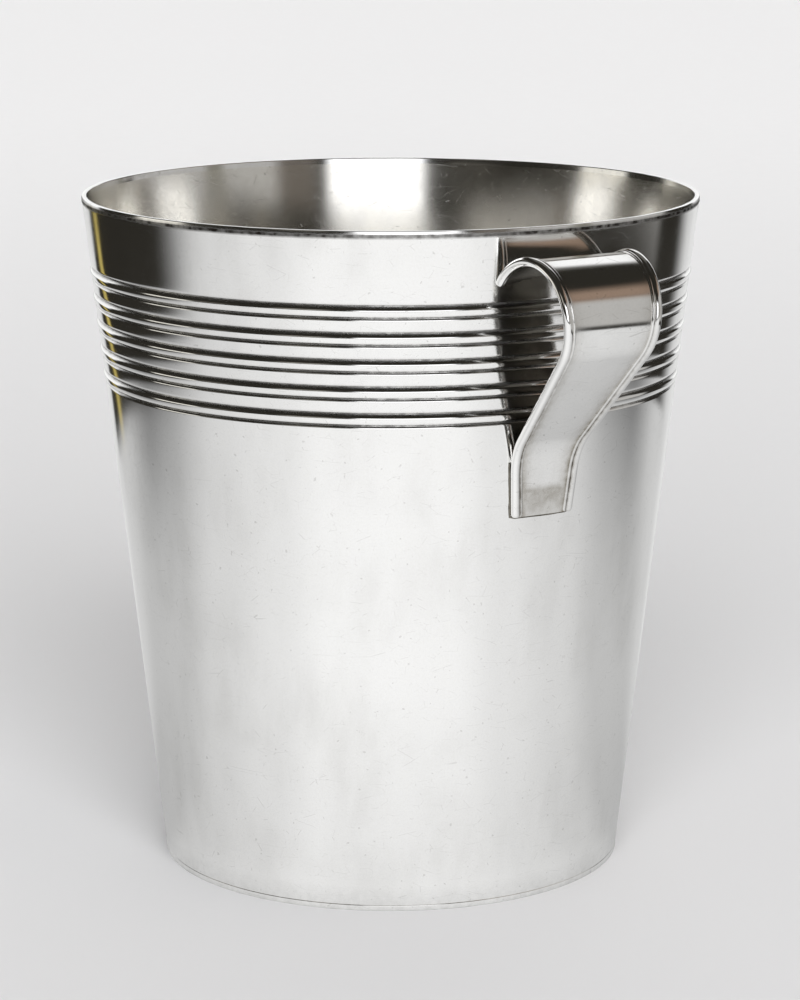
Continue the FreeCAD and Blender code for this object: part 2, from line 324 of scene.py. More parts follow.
def silver(name, polish, wear, clean=CLEAN_METAL, clouded_metal=CLOUDED_METAL, tarnish=TARNISH):
    """Old polished silver plate: hairline scratches, pits, softly worn patches and tarnish.

    polish is the roughness of the cleanest metal, wear scales the scratches and soft patches, and
    the tarnish colour lies where the mesh's soil attribute puts it; on the handles it also paints shade.
    """
    material = bpy.data.materials.new(name)
    material.use_nodes = True
    tree = material.node_tree
    shader = tree.nodes["Principled BSDF"]
    shader.inputs["Metallic"].default_value = 1.0

    plain = stretched(tree, (1.0, 1.0, 1.0))
    upright = stretched(tree, (1.0, 1.0, 0.30), turn=(0.05, -0.04, 0.0))
    slanting = stretched(tree, (1.0, 0.4, 1.0), turn=(0.9, 0.5, 0.2))
    level = stretched(tree, (0.25, 0.25, 1.0))
    patches = ramp(tree, noise_value(tree, plain, scale=30.0, detail=6.0), low=0.36, high=0.66)
    clouds = ramp(tree, noise_value(tree, upright, scale=90.0, detail=8.0), low=0.32, high=0.70)
    grain = noise_value(tree, level, scale=2400.0, detail=3.0)
    speckle = ramp(tree, noise_value(tree, plain, scale=1500.0, detail=2.0), low=0.35, high=0.70)
    pits = ramp(tree, noise_value(tree, plain, scale=620.0, detail=1.0), low=0.735, high=0.775)
    fine_lines = hairlines(tree, slanting, scale=260.0, width=0.012, cover=0.54)
    level_lines = hairlines(tree, level, scale=210.0, width=0.010, cover=0.57)
    lines = calculate(tree, "MAXIMUM", fine_lines, level_lines)

    # The soil attribute brings tarnish and grime, and on the handles painted shade as well.
    stored = node(tree, "ShaderNodeAttribute", attribute_name="soil")
    mottle = noise_value(tree, plain, scale=420.0, detail=4.0)
    uneven = ramp(tree, mottle, low=0.30, high=0.70, bottom=0.72, top=1.15)
    soil = calculate(tree, "MULTIPLY", stored.outputs["Fac"], uneven)

    cloudy = calculate(tree, "MULTIPLY", patches, clouds)
    clouded = calculate(tree, "MULTIPLY", cloudy, CLOUDED_SHARE * wear)
    speckled = calculate(tree, "MULTIPLY", speckle, SPECKLED_SHARE * wear)
    clouded = calculate(tree, "ADD", clouded, speckled)
    metal = mix_colour(tree, clouded, clean, clouded_metal)
    marks = calculate(tree, "MAXIMUM", lines, pits)
    scored = calculate(tree, "MULTIPLY", marks, SCORED_SHARE * wear)
    metal = mix_colour(tree, scored, metal, SCORED_METAL)
    metal = mix_colour(tree, soil, metal, tarnish)
    tree.links.new(metal, shader.inputs["Base Color"])

    rough = calculate(tree, "MULTIPLY", patches, PATCH_ROUGHNESS * wear)
    rough = calculate(tree, "ADD", rough, calculate(tree, "MULTIPLY", lines, SCRATCH_ROUGHNESS * wear))
    rough = calculate(tree, "ADD", rough, calculate(tree, "MULTIPLY", soil, SOIL_ROUGHNESS))
    tree.links.new(calculate(tree, "ADD", rough, polish), shader.inputs["Roughness"])

    height = calculate(tree, "MULTIPLY", grain, GRAIN_HEIGHT)
    height = calculate(tree, "SUBTRACT", height, calculate(tree, "MULTIPLY", lines, SCRATCH_DEPTH))
    height = calculate(tree, "SUBTRACT", height, pits)
    bump = node(tree, "ShaderNodeBump", Strength=RELIEF_STRENGTH * wear, Distance=RELIEF_DEPTH)
    tree.links.new(height, bump.inputs["Height"])
    tree.links.new(bump.outputs["Normal"], shader.inputs["Normal"])
    return material


OUTSIDE_SILVER = silver("outside_silver", polish=0.075, wear=1.0, tarnish=(0.05, 0.045, 0.04))
INSIDE_SILVER = silver("inside_silver", polish=0.11, wear=1.3, clean=(0.95, 0.94, 0.90))
BASE_SILVER = silver("base_silver", polish=0.30, wear=1.6)
RIM_SILVER = silver("rim_silver", polish=0.06, wear=0.8, tarnish=(0.035, 0.03, 0.025))
STRAP_SILVER = silver("strap_silver", polish=0.085, wear=1.2, tarnish=(0.20, 0.16, 0.095))
# The strap's underside is silver painted dark: painted shade under the strap.
SHADED_UNDERSIDE_SILVER = silver("shaded_underside_silver", polish=0.24, wear=1.4, clean=(0.20, 0.19, 0.165),
                          clouded_metal=(0.07, 0.065, 0.055), tarnish=(0.05, 0.04, 0.03))
BORDER_SILVER = silver("border_silver", polish=0.045, wear=0.7, tarnish=(0.085, 0.065, 0.035))
# Solder, darkened to paint the thin shadow beside and under the strap's foot.
SOLDER_AND_SHADOW_SILVER = silver("solder_and_shadow_silver", polish=0.30, wear=1.5, clean=(0.42, 0.40, 0.35),
                       clouded_metal=(0.15, 0.135, 0.11), tarnish=(0.06, 0.045, 0.03))


# ---- body wall --------------------------------------------------------------------------------------

def reed_offset(height):
    """How far the outer face stands out from the cone at a height, in metres."""
    section = [(position * MM, out * MM) for position, out in reversed(REED_SECTION)]
    for index in range(REED_COUNT):
        from_middle = height - (LOWEST_REED + index * REED_PITCH)
        if section[0][0] <= from_middle <= section[-1][0]:
            return smooth_value(section, from_middle)
    return 0.0


def wall_heights():
    """Heights for the outer face's rows: close together on the reeds, far apart elsewhere."""
    rows_below, rows_above, rows_in_dark_band, rows_per_gap = 24, 6, 4, 2
    below = REED_BAND_LOW - WALL_BOTTOM
    heights = [WALL_BOTTOM + below * step / rows_below for step in range(rows_below)]
    for index in range(REED_COUNT):
        middle = LOWEST_REED + index * REED_PITCH
        stations = [middle + position * MM for position, _ in reversed(REED_SECTION)]
        for low, high in zip(stations, stations[1:]):
            heights += [low + (high - low) * step / rows_per_gap for step in range(rows_per_gap)]
        heights.append(stations[-1])
    dark_band_low = WALL_TOP - RIM_DARK_BAND
    above = dark_band_low - REED_BAND_HIGH
    heights += [REED_BAND_HIGH + above * step / rows_above for step in range(1, rows_above + 1)]
    heights += [dark_band_low + RIM_DARK_BAND * step / rows_in_dark_band for step in range(1, rows_in_dark_band + 1)]
    return heights


# The wall's waviness from hand finishing: the radius of the circle that one turn follows through the
# noise, how fast the noise changes with height, and the depth of the waves.
WAVES_AROUND = 2.2
WAVES_UP = 16
WAVE_DEPTH = 0.035 * MM


def wall_place(radius, height, angle):
    """A point of the wall, slightly wavy."""
    spot = Vector((math.cos(angle) * WAVES_AROUND, math.sin(angle) * WAVES_AROUND, height * WAVES_UP))
    radius += noise.noise(spot) * WAVE_DEPTH
    return (radius * math.cos(angle), radius * math.sin(angle), height)


def dark_band_thickness(x, y):
    """How strong the dark band under the rim wire is at a place round the bucket, up to 1."""
    average, variation, fineness = 0.90, 0.7, 20
    return min(1.0, average + variation * noise.noise(Vector((x * fineness, y * fineness, 1.0))))


def wall_soil(spot):
    """Grime in the grooves and a little along the seam at the foot, and an uneven dark band under the rim
    wire.
    """
    inside_face, deep_groove, foot_reach = 1.2 * MM, 0.5 * MM, 0.8 * MM
    inside_soil, groove_soil, foot_soil = 0.08, 0.60, 0.15
    outward = math.hypot(spot.x, spot.y) - wall_radius(spot.z)
    if outward < -inside_face:
        return inside_soil
    in_groove = limited(-outward / deep_groove)
    above_foot = math.exp(-(spot.z - WALL_BOTTOM) / foot_reach)
    # An uneven dark band under the rim wire.
    below_rim = max(0.0, 1 - (WALL_TOP - spot.z) / RIM_DARK_BAND) * dark_band_thickness(spot.x, spot.y)
    return max(groove_soil * in_groove + foot_soil * above_foot, below_rim)


def make_body_wall():
    """The conical wall, turned from one closed outline: outer face up, inner face down."""
    outer = [(wall_radius(height) + reed_offset(height), height) for height in wall_heights()]
    level_thickness = WALL_THICKNESS / math.cos(WALL_LEAN)
    inner_rows = 40
    inner = []
    for step in range(inner_rows + 1):
        height = WALL_TOP + (WALL_BOTTOM - WALL_TOP) * step / inner_rows
        inner.append((wall_radius(height) - level_thickness, height))
    points, faces = turned_mesh(outer + inner, wall_place)
    wall = new_piece("conical_wall", points, faces, [OUTSIDE_SILVER, INSIDE_SILVER])
    first_inner_face = len(outer) * ROUND_STEPS
    for polygon in wall.data.polygons[first_inner_face:]:
        polygon.material_index = 1
    set_soil_and_shade(wall, [wall_soil(vertex.co) for vertex in wall.data.vertices])
    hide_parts("body_wall")


# ---- rim, foot and base -----------------------------------------------------------------------------

def rim_place(radius, height, angle):
    """A point of the rim wire, which is a little uneven from years of knocks."""
    dents_around, dent_depth = 9, 0.10 * MM
    around = Vector((math.cos(angle) * dents_around, math.sin(angle) * dents_around, 3.0))
    upward = (height - WALL_TOP) / (BUCKET_HEIGHT - WALL_TOP)
    dent = noise.noise(around) * dent_depth * upward
    height = min(height - abs(dent), BUCKET_HEIGHT)
    return (radius * math.cos(angle), radius * math.sin(angle), height)


def rim_darkening(x, y, height):
    """A dark band low on the rim wire's outer face, stronger in some places than others."""
    face_depth, band_start, band_fade, elsewhere = 0.5 * MM, 0.9 * MM, 0.25 * MM, 0.1
    if math.hypot(x, y) < RIM_RADIUS - face_depth:
        return elsewhere
    low_down = limited((BUCKET_HEIGHT - height - band_start) / band_fade)
    return low_down * dark_band_thickness(x, y)


def make_rim_wire():
    """The wire along the mouth: flat underneath where it is soldered, with both top edges rounded."""
    inside = wall_radius(WALL_TOP) - WALL_THICKNESS / math.cos(WALL_LEAN)
    inner_edge = inside + WALL_SLOPE * (BUCKET_HEIGHT - WALL_TOP)
    outer_edge = RIM_RADIUS - RIM_FACE_LEAN
    outer_shoulder = (outer_edge - RIM_OUTER_ROUND[0], BUCKET_HEIGHT - RIM_OUTER_ROUND[1])
    inner_shoulder = (inner_edge + RIM_INNER_ROUND[0], BUCKET_HEIGHT - RIM_INNER_ROUND[1])
    lean_start = BUCKET_HEIGHT - RIM_FACE_DEPTH
    side_steps, outer_steps, inner_steps = 8, 6, 10
    outline = [(inside, WALL_TOP)]
    for step in range(side_steps + 1):
        outline.append((RIM_RADIUS, WALL_TOP + (lean_start - WALL_TOP) * step / side_steps))
    outline += arc(outer_shoulder, RIM_OUTER_ROUND, 0, 90, outer_steps)
    outline += arc(inner_shoulder, RIM_INNER_ROUND, 90, 180, inner_steps)
    points, faces = turned_mesh(outline, rim_place)
    rim = new_piece("mouth_wire", points, faces, [RIM_SILVER])
    set_soil_and_shade(rim, [rim_darkening(*spot) for spot in points])
    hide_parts("rim_wire")


def make_foot_ring():
    """The flat ring that the bucket stands on, its edges softened by wear."""
    outside = FOOT_HIGH[0]
    inside = outside - FOOT_RING_WIDTH
    top = FOOT_HIGH[2]
    rounding = (FOOT_ROUNDING, FOOT_ROUNDING)
    corners = ((inside + FOOT_ROUNDING, FOOT_ROUNDING, 180), (outside - FOOT_ROUNDING, FOOT_ROUNDING, 270),
               (outside - FOOT_ROUNDING, top - FOOT_ROUNDING, 0),
               (inside + FOOT_ROUNDING, top - FOOT_ROUNDING, 90))
    corner_steps = 4
    outline = []
    for radius, height, start in corners:
        outline += arc((radius, height), rounding, start, start + 90, corner_steps)
    points, faces = turned_mesh(outline, even_place)
    ring = new_piece("standing_ring", points, faces, [OUTSIDE_SILVER])
    # The ring is darker towards the table.
    everywhere, at_table, fade = 0.08, 0.25, 0.5 * MM
    set_soil_and_shade(ring, [everywhere + at_table * math.exp(-spot[2] / fade) for spot in points])
    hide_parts("foot_ring")


def s_curve(start, end, steps):
    """(radius, height) points of a soft step from one point to another."""
    points = []
    for step in range(steps + 1):
        t = step / steps
        rise = t * t * (3 - 2 * t)
        points.append((start[0] + (end[0] - start[0]) * t, start[1] + (end[1] - start[1]) * rise))
    return points


def make_base_plate():
    """The bottom disc: a ledge on the foot ring and a panel pushed up clear of the table."""
    edge = PLATE_HIGH[0]
    bottom = PLATE_LOW[2]
    ledge = edge - BASE_LEDGE
    panel = ledge - BASE_STEP
    step_rows = 10
    under = [(0.0, bottom + BASE_RISE), (panel / 2, bottom + BASE_RISE)]
    under += s_curve((panel, bottom + BASE_RISE), (ledge, bottom), step_rows)
    under.append((edge, bottom))
    over = [(radius, height + BASE_THICKNESS) for radius, height in reversed(under)]
    points, faces = turned_mesh(under + over, even_place)
    plate = new_piece("bottom_disc", points, faces, [BASE_SILVER])
    everywhere, in_corner, fade_power = 0.2, 0.5, 6
    set_soil_and_shade(plate, [everywhere + in_corner * (math.hypot(spot[0], spot[1]) / edge) ** fade_power
                     for spot in points])
    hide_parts("base_plate")


# ---- handles ----------------------------------------------------------------------------------------

def from_angle(degrees, length=1.0):
    """A vector in the XZ plane, at an angle from +X towards +Z."""
    return Vector((math.cos(math.radians(degrees)), 0, math.sin(math.radians(degrees)))) * length


def strap_route():
    """Stations down the strap's middle: (point, outward direction, distance travelled).

    The curl turns over out of the wall, the leg slopes back to it, the ankle bends the strap
    parallel to the wall, and the foot lies on the wall.
    """
    lean = math.degrees(WALL_LEAN)
    curl_end = LEG_SLOPE - 90
    leg_top = CURL_CENTRE + from_angle(curl_end, CURL_RADIUS)
    down_leg = from_angle(180 + LEG_SLOPE)
    down_wall = from_angle(270 - lean)
    wall_foot = Vector((FOOT_RADIUS, 0, 0)) + from_angle(-lean, FOOT_STANDOFF)
    to_wall = wall_foot - leg_top
    leg_length = (to_wall.x * down_wall.z - to_wall.z * down_wall.x) / (
        down_leg.x * down_wall.z - down_leg.z * down_wall.x)
    corner = leg_top + down_leg * leg_length
    trim = ANKLE_RADIUS * math.tan(math.radians((90 - lean - LEG_SLOPE) / 2))
    leg_bottom = corner - down_leg * trim
    foot_top = corner + down_wall * trim
    ankle_centre = leg_bottom + from_angle(LEG_SLOPE - 90, ANKLE_RADIUS)
    foot_bottom = foot_top + down_wall * ((foot_top.z - STRAP_FOOT_HEIGHT) / -down_wall.z)

    stations = []

    def add(point, outward):
        travelled = 0.0
        if stations:
            travelled = stations[-1][2] + (point - stations[-1][0]).length
        stations.append((point, outward, travelled))

    curl_steps = 72
    for step in range(curl_steps + 1):
        angle = CURL_START + (curl_end - CURL_START) * step / curl_steps
        add(CURL_CENTRE + from_angle(angle, CURL_RADIUS), from_angle(angle))
    leg_steps = 16
    for step in range(1, leg_steps + 1):
        add(leg_top.lerp(leg_bottom, step / leg_steps), from_angle(curl_end))
    ankle_steps = 14
    first, last = 90 + LEG_SLOPE, 180 - lean
    for step in range(1, ankle_steps + 1):
        angle = first + (last - first) * step / ankle_steps
        add(ankle_centre + from_angle(angle, ANKLE_RADIUS), -from_angle(angle))
    foot_steps = 12
    for step in range(1, foot_steps + 1):
        add(foot_top.lerp(foot_bottom, step / foot_steps), from_angle(-lean))
    return stations


def half_width(distance, whole):
    """Half of the distance between the two borders' beads, at a distance along the whole strap."""
    return STRAP_TOP_HALF_WIDTH + (STRAP_FOOT_HALF_WIDTH - STRAP_TOP_HALF_WIDTH) * distance / whole


def coped(point):
    """Keep a point of the handle out of the wall: one inside it moves to just under its surface."""
    radius = math.hypot(point.x, point.y)
    least = wall_radius(point.z) - HANDLE_SINK
    if radius >= least:
        return point
    return Vector((point.x * least / radius, point.y * least / radius, point.z))


# The handle darkens lower down. Its darkening grows from here over this much of its length,
# both as parts of the whole, and starts with this share of what it holds at the foot.
DARKENING_START = 0.30
DARKENING_GROWTH = 0.45
TOP_DARKENING_SHARE = 0.25


def swept_mesh(stations, section, turn):
    """A closed skin through one section per station, with each point's soil.

    section(distance, whole) gives (side, out, soil) points, anticlockwise seen from the start.
    """
    whole = stations[-1][2]
    points = []
    soils = []
    for point, outward, travelled in stations:
        outline = section(travelled, whole)
        lower_down = limited((travelled / whole - DARKENING_START) / DARKENING_GROWTH)
        for side, out, soil in outline:
            points.append(tuple(turn @ coped(point + outward * out + Vector((0, side, 0)))))
            soils.append(soil * (TOP_DARKENING_SHARE + (1 - TOP_DARKENING_SHARE) * lower_down))
    count = len(outline)
    faces = []
    for row in range(len(stations) - 1):
        for step in range(count):
            ahead = (step + 1) % count
            first, second = row * count, (row + 1) * count
            faces.append((first + step, first + ahead, second + ahead, second + step))
    faces.append(tuple(reversed(range(count))))
    faces.append(tuple(range(len(points) - count, len(points))))
    return points, faces, soils


# Places across the strap, from its middle to its edge, close together where tarnish gathers.
ACROSS_STRAP = (0.25, 0.5, 0.7, 0.84, 0.92, 0.96, 1.0)
# The strap's foot starts at this part of its length. Its painted darkening, a painted dark reflection on
# the foot, starts within the fade, and falls from the first value to the second down to the end.
FOOT_START = 0.918
FOOT_PAINTED_REFLECTION = (0.56, 0.26)
FOOT_REFLECTION_FADE = 0.2
# Tarnish beside the borders: how strong it is at the border, and how far out it fades.
BORDER_STAIN = 1.2
BORDER_STAIN_REACH = 1.7 * MM
# More painted shade on the strap's underside.
UNDERSIDE_PAINTED_SHADE = 0.3


def strap_section(distance, whole):
    """The strap's own section between its borders, very slightly crowned outside."""
    reach = half_width(distance, whole) - BORDER_INSET
    half = STRAP_THICKNESS / 2
    # A painted dark reflection on the strap's foot.
    down_foot = (distance / whole - FOOT_START) / (1 - FOOT_START)
    foot_soil = FOOT_PAINTED_REFLECTION[0] + (FOOT_PAINTED_REFLECTION[1] - FOOT_PAINTED_REFLECTION[0]) * down_foot
    on_foot = foot_soil * limited(down_foot / FOOT_REFLECTION_FADE)
    spread = [-part for part in reversed(ACROSS_STRAP)] + [0.0] + list(ACROSS_STRAP)
    outer = []
    for part in spread:
        to_border = reach * (1 - abs(part))
        beside_border = min(1.0, BORDER_STAIN * math.exp(-to_border / BORDER_STAIN_REACH))
        outer.append((reach * part, half - STRAP_CROWN * part * part, max(on_foot, beside_border)))
    inner = [(reach * part, -half, UNDERSIDE_PAINTED_SHADE) for part in reversed(spread)]
    return outer + inner


# Soil in the seams of the border: how fast it fades round the bead and round the reed, as parts of
# each one's outline, and how much the reed holds everywhere.
BEAD_SOIL_FADE = 0.08
REED_SOIL_FADE = 0.16
REED_SOIL = 0.25
# The border's section shrinks to this share of its size where its rounded ends stop.
END_SHARE = 0.55


def border_section(side):
    """The border's section: a round bead joined to a fine reed on its inner side."""
    reed_out = STRAP_THICKNESS / 2
    spread = math.hypot(FINE_REED_INSET, reed_out)
    tilt = math.atan2(reed_out, FINE_REED_INSET)
    reach = (spread ** 2 + BEAD_RADIUS ** 2 - FINE_REED_RADIUS ** 2) / (2 * spread)
    bead_opening = math.acos(reach / BEAD_RADIUS)
    reed_opening = math.acos((spread - reach) / FINE_REED_RADIUS)

    outline = []
    bead_steps, reed_steps = 30, 12
    for step in range(bead_steps):
        part = step / bead_steps
        angle = tilt + bead_opening + (2 * math.pi - 2 * bead_opening) * part
        soil = math.exp(-min(part, 1 - part) / BEAD_SOIL_FADE)
        outline.append((BEAD_RADIUS * math.cos(angle), BEAD_RADIUS * math.sin(angle), soil))
    for step in range(reed_steps):
        part = step / reed_steps
        angle = tilt + math.pi + reed_opening + (2 * math.pi - 2 * reed_opening) * part
        soil = REED_SOIL + (1 - REED_SOIL) * math.exp(-min(part, 1 - part) / REED_SOIL_FADE)
        outline.append((FINE_REED_INSET + FINE_REED_RADIUS * math.cos(angle),
                        reed_out + FINE_REED_RADIUS * math.sin(angle), soil))

    def section(distance, whole):
        middle = side * half_width(distance, whole)
        left = min(distance, whole - distance, BORDER_END_ROUNDING) / BORDER_END_ROUNDING
        swell = END_SHARE + (1 - END_SHARE) * math.sqrt(max(0.0, 1 - (1 - left) ** 2))
        points = [(middle - side * inward * swell, out * swell, soil) for inward, out, soil in outline]
        return points if side > 0 else points[::-1]

    return section


# How far along from an end the border's extra sections lie, as parts of the first step.
END_PARTS = (0.05, 0.13, 0.25, 0.4, 0.6)


def with_rounded_ends(stations):
    """The stations with extra ones close together at both ends, for the border's rounded ends."""

    def between(first, second, part):
        distance = first[2] + (second[2] - first[2]) * part
        return (first[0].lerp(second[0], part), first[1].lerp(second[1], part).normalized(), distance)

    start = [between(stations[0], stations[1], part) for part in END_PARTS]
    end = [between(stations[-1], stations[-2], part) for part in reversed(END_PARTS)]
    return stations[:1] + start + stations[1:-1] + end + stations[-1:]


# Places across the strap's foot, from one side to the other, for the solder under its end.
UNDER_FOOT = (0.95, 0.7, 0.35, 0.0, -0.35, -0.7, -0.95)
SOLDER_UNEVENNESS = 0.5
SOLDER_LUMPS = 400
SOLDER_SOIL_AND_SHADE = 0.5


def solder_route(stations):
    """(side, height) on the wall round the strap's foot: down one side, under it, up the other."""
    whole = stations[-1][2]
    touching = [station for station in stations[len(stations) // 2:]
                if station[0].x - wall_radius(station[0].z) < SOLDER_REACH]
    down = [(half_width(travelled, whole) + SOLDER_GAP, point.z) for point, _, travelled in touching]
    bottom = STRAP_FOOT_HEIGHT - SOLDER_DROP
    reach = half_width(whole, whole)
    under = [(reach * part, bottom) for part in UNDER_FOOT]
    return down + under + [(-side, height) for side, height in reversed(down)]


def make_solder(side_name, stations, turn):
    """The thin, uneven line of solder between the strap's foot and the wall, made dark as a painted shadow
    round the foot.
    """
    route = []
    for side, height in solder_route(stations):
        radius = wall_radius(height)
        route.append(Vector((math.sqrt(radius * radius - side * side), side, height)))
    around = 10
    points = []
    for index, spot in enumerate(route):
        ahead = route[min(index + 1, len(route) - 1)]
        behind = route[max(index - 1, 0)]
        along = (ahead - behind).normalized()
        outward = Vector((spot.x, spot.y, 0)).normalized()
        beside = along.cross(outward).normalized()
        size = SOLDER_RADIUS * (1 + SOLDER_UNEVENNESS * noise.noise(spot * SOLDER_LUMPS))
        for step in range(around):
            angle = 2 * math.pi * step / around
            towards = beside * math.cos(angle) + outward * math.sin(angle)
            points.append(tuple(turn @ (spot + towards * size)))
    faces = []
    for row in range(len(route) - 1):
        for step in range(around):
            ahead = (step + 1) % around
            first, second = row * around, (row + 1) * around
            faces.append((first + step, second + step, second + ahead, first + ahead))
    faces.append(tuple(range(around)))
    faces.append(tuple(reversed(range(len(points) - around, len(points)))))
    solder = new_piece(f"{side_name}_solder_and_shadow_line", points, faces, [SOLDER_AND_SHADOW_SILVER])
    set_soil_and_shade(solder, [SOLDER_SOIL_AND_SHADE] * len(points))


def make_handle(side_name, turn_degrees, front_side):
    """One handle: the curled strap, the border wire along each of its edges, and its solder."""
    turn = Matrix.Rotation(math.radians(turn_degrees), 4, "Z")
    stations = strap_route()
    points, faces, soils = swept_mesh(stations, strap_section, turn)
    materials = [STRAP_SILVER, SHADED_UNDERSIDE_SILVER]
    strap = new_piece(f"{side_name}_curled_strap", points, faces, materials)
    set_soil_and_shade(strap, soils)
    # The strap's inner faces take the silver that is painted dark as shade.
    section_points = 2 * (2 * len(ACROSS_STRAP) + 1)
    for polygon in strap.data.polygons[:-2]:
        if polygon.index % section_points >= section_points // 2:
            polygon.material_index = 1
    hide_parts(f"{side_name}_handle_strap")
    for border_name, side in (("front", front_side), ("rear", -front_side)):
        points, faces, soils = swept_mesh(with_rounded_ends(stations), border_section(side), turn)
        border = new_piece(f"{side_name}_{border_name}_bead", points, faces, [BORDER_SILVER])
        set_soil_and_shade(border, soils)
        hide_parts(f"{side_name}_handle_{border_name}_border")
    make_solder(side_name, stations, turn)


# ---- stage, room and camera -------------------------------------------------------------------------

DEGREES_PER_RADIAN = 180 / math.pi


def stage_sheet(name, reach, near, far, height, material):
    """A flat sheet on the ground, laid out as seen from the front, with x right and y away."""
    mesh = bpy.data.meshes.new(name)
    corners = [(-reach, near, 0), (reach, near, 0), (reach, far, 0), (-reach, far, 0)]
    mesh.from_pydata(corners, [], [(0, 1, 2, 3)])
    mesh.materials.append(material)
    sheet = bpy.data.objects.new(name, mesh)
    sheet.location = (0, 0, height)
    sheet.rotation_euler = (0, 0, FRONT_TURN)
    bpy.context.scene.collection.objects.link(sheet)
    return sheet


def azimuth(tree, across, away):
    """Degrees round from the front, to the right, of a direction given as seen from the front."""
    towards = calculate(tree, "MULTIPLY", away, -1.0)
    turned = calculate(tree, "ARCTAN2", across, towards)
    return calculate(tree, "MULTIPLY", turned, DEGREES_PER_RADIAN)


def brightness_curve(tree, source, stops):
    """A smooth grey value from (place, brightness) stops, with the places from 0 to 1."""
    made = node(tree, "ShaderNodeValToRGB")
    made.color_ramp.interpolation = "EASE"
    elements = made.color_ramp.elements
    while len(elements) < len(stops):
        elements.new(0.5)
    for element, (place, brightness) in zip(elements, stops):
        element.position = place
        element.color = (brightness, brightness, brightness, 1.0)
    tree.links.new(source, made.inputs["Fac"])
    return made.outputs["Color"]


# The paper's own two colours, and a greyer colour nearer to the front that is painted shade for the
# light's fall-off;
# and where that painted shade fades out, in metres away from the middle.
PAPER_COLOURS = ((0.890, 0.890, 0.898), (0.897, 0.897, 0.904))
PAINTED_NEAR_SHADE_COLOUR = (0.765, 0.765, 0.775)
PAINTED_NEAR_SHADE_FADE = (-0.1, 2.6)
PAPER_ROUGHNESS = 0.9


def make_floor():
    """A wide pale paper floor that shows and takes the soft shadow, with painted shade greying it towards
    the front.
    """
    material = bpy.data.materials.new("pale_paper")
    material.use_nodes = True
    tree = material.node_tree
    shader = tree.nodes["Principled BSDF"]
    shader.inputs["Roughness"].default_value = PAPER_ROUGHNESS
    shader.inputs["Specular IOR Level"].default_value = 0.0
    plain = stretched(tree, (1.0, 1.0, 1.0))
    mottle = ramp(tree, noise_value(tree, plain, scale=60.0, detail=3.0), low=0.3, high=0.7)
    paper = mix_colour(tree, mottle, *PAPER_COLOURS)
    place = node(tree, "ShaderNodeSeparateXYZ")
    tree.links.new(plain, place.inputs["Vector"])
    # Painted shade: the paper greys towards the front.
    painted_near_shade = ramp(tree, place.outputs["Y"], *PAINTED_NEAR_SHADE_FADE, bottom=1.0, top=0.0)
    colour = mix_colour(tree, painted_near_shade, paper, PAINTED_NEAR_SHADE_COLOUR)
    tree.links.new(colour, shader.inputs["Base Color"])
    floor = stage_sheet("wide_floor", reach=9, near=-6, far=12, height=-0.2 * MM, material=material)
    floor.visible_glossy = False


# How bright the table looks in the silver, by direction: from 0 at the front to 1 at the back.
TABLE_BY_DIRECTION = ((0.0, 0.95), (0.12, 0.93), (0.24, 0.80), (0.38, 0.69), (0.52, 0.54),
                      (0.66, 0.52), (0.78, 0.62), (0.88, 0.76), (1.0, 0.80))
# The table dims towards its sides and then ends: over which directions, in degrees from the front,
# and over which distances from the middle, in metres.
DIM_SIDE_START = (62, 112)
DIM_SIDE_END = (106, 128)
DIM_DISTANCE = (0.28, 0.62)
DIM_AMOUNT = 0.62
RIGHT_END_START = (46, 60)
RIGHT_END_STOP = (130, 146)
RIGHT_END_DISTANCE = (0.64, 0.68)
LEFT_END_START = (-95, -74)
LEFT_END_STOP = (-150, -147)
LEFT_END_DISTANCE = (0.57, 0.66)
# The bucket shades the table close to its foot: from which brightness, over which distances.
CONTACT_BRIGHTNESS = 0.88
CONTACT_DISTANCE = (0.07, 0.26)
TABLE_REACH = 1.6


